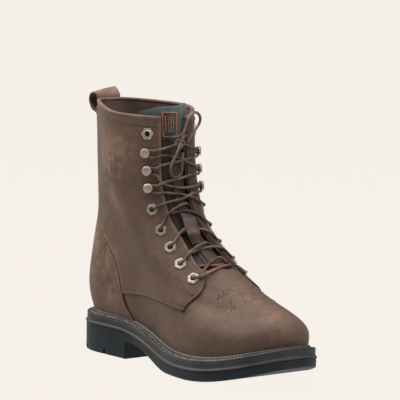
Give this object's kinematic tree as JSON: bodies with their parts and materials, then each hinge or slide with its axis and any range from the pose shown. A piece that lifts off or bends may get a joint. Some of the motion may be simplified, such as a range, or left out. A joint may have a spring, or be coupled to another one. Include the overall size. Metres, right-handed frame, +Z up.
{
  "type": "lace-up work boot",
  "caption": "Ankle-high lace-up work boot for the right foot: hollow leather upper with broad toe, tongue, hex eyelets, lace hooks, tied lace, welted rubber sole and heel.",
  "frame": {"origin": "middle of the sole's box in plan, on the floor plane", "axes": "+X towards the toe, +Y towards the medial side of the foot, +Z up"},
  "size_m": [0.3066, 0.107, 0.2556],
  "materials": {
    "upper_leather": "oiled brown leather, matt with a soft sheen",
    "tongue_leather": "dark brown soft leather, matt",
    "outsole_rubber": "moulded blue-black rubber, satin",
    "midsole_rubber": "grey-black rubber band, satin",
    "welt_strip": "black welt strip, satin",
    "footbed_cloth": "grey-brown cloth, matt",
    "fitting_nickel": "antique nickel plate, satin",
    "lace_cord": "brown waxed cord, satin"
  },
  "bodies": {
    "root": {"outsole": "outsole_rubber", "midsole": "midsole_rubber", "welt": "welt_strip", "insole": "footbed_cloth", "upper": "upper_leather", "tongue": "tongue_leather", "quarter_lateral": "upper_leather", "quarter_medial": "upper_leather", "counter": "upper_leather", "pull_loop": "upper_leather", "eyelet_1_lateral": "fitting_nickel", "eyelet_2_lateral": "fitting_nickel", "eyelet_3_lateral": "fitting_nickel", "eyelet_4_lateral": "fitting_nickel", "eyelet_5_lateral": "fitting_nickel", "eyelet_6_lateral": "fitting_nickel", "eyelet_1_medial": "fitting_nickel", "eyelet_2_medial": "fitting_nickel", "eyelet_3_medial": "fitting_nickel", "eyelet_4_medial": "fitting_nickel", "eyelet_5_medial": "fitting_nickel", "eyelet_6_medial": "fitting_nickel", "hook_1_lateral": "fitting_nickel", "hook_2_lateral": "fitting_nickel", "hook_3_lateral": "fitting_nickel", "hook_1_medial": "fitting_nickel", "hook_2_medial": "fitting_nickel", "hook_3_medial": "fitting_nickel", "lace_crossings": "lace_cord", "lace_knot": "lace_cord", "lace_upper_loop": "lace_cord", "lace_lower_loop": "lace_cord", "lace_lateral_end": "lace_cord", "lace_medial_end": "lace_cord"}
  },
  "joints": []
}
